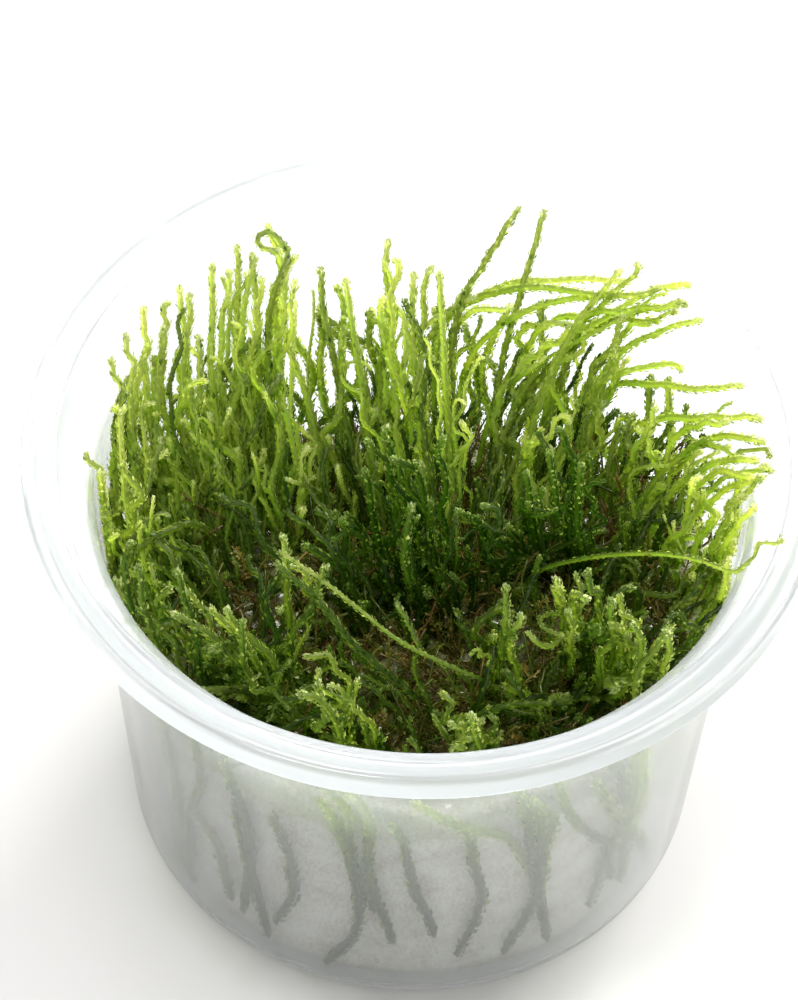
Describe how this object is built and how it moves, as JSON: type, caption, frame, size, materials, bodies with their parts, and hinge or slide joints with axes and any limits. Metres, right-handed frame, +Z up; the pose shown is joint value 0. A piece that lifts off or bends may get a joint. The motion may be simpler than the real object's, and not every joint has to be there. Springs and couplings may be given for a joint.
{
  "type": "erect moss in a cup",
  "caption": "Erect aquatic moss: thin leafy green shoots leaning out of a cushion of old tangled stems, grown in a round cup of milky plastic with a rolled rim.",
  "frame": {"origin": "centre of the cup's underside", "axes": "+Z up, the cup's axis; -Y is the front, from which the picture is taken; the shoots lean towards +Y and outwards"},
  "size_m": [0.101, 0.101, 0.0717],
  "materials": {
    "milky_plastic": "smooth translucent polypropylene, milky",
    "old_stems": "wet tangled stems, brown olive",
    "moss_leaf": "small overlapping leaves, yellow green at the tips, damp"
  },
  "bodies": {
    "root": {"cup": "milky_plastic", "moss_mat": "old_stems", "shoot_back_01": "moss_leaf", "shoot_back_02": "moss_leaf", "shoot_back_03": "moss_leaf", "shoot_back_04": "moss_leaf", "shoot_back_05": "moss_leaf", "shoot_back_06": "moss_leaf", "shoot_back_07": "moss_leaf", "shoot_back_08": "moss_leaf", "shoot_back_09": "moss_leaf", "shoot_back_10": "moss_leaf", "shoot_back_11": "moss_leaf", "shoot_front_01": "moss_leaf", "shoot_front_02": "moss_leaf", "shoot_front_03": "moss_leaf", "shoot_front_04": "moss_leaf", "shoot_front_05": "moss_leaf", "shoot_front_06": "moss_leaf", "shoot_front_07": "moss_leaf", "shoot_front_08": "moss_leaf", "shoot_front_09": "moss_leaf", "shoot_front_10": "moss_leaf", "shoot_front_11": "moss_leaf", "shoot_front_12": "moss_leaf", "shoot_left_01": "moss_leaf", "shoot_left_02": "moss_leaf", "shoot_left_03": "moss_leaf", "shoot_left_04": "moss_leaf", "shoot_left_05": "moss_leaf", "shoot_left_06": "moss_leaf", "shoot_left_07": "moss_leaf", "shoot_left_08": "moss_leaf", "shoot_left_09": "moss_leaf", "shoot_left_10": "moss_leaf", "shoot_left_11": "moss_leaf", "shoot_left_12": "moss_leaf", "shoot_middle_01": "moss_leaf", "shoot_middle_02": "moss_leaf", "shoot_middle_03": "moss_leaf", "shoot_middle_04": "moss_leaf", "shoot_middle_05": "moss_leaf", "shoot_right_01": "moss_leaf", "shoot_right_02": "moss_leaf", "shoot_right_03": "moss_leaf", "shoot_right_04": "moss_leaf", "shoot_right_05": "moss_leaf", "shoot_right_06": "moss_leaf", "shoot_right_07": "moss_leaf", "shoot_right_08": "moss_leaf", "shoot_right_09": "moss_leaf", "shoot_right_10": "moss_leaf"}
  },
  "joints": []
}
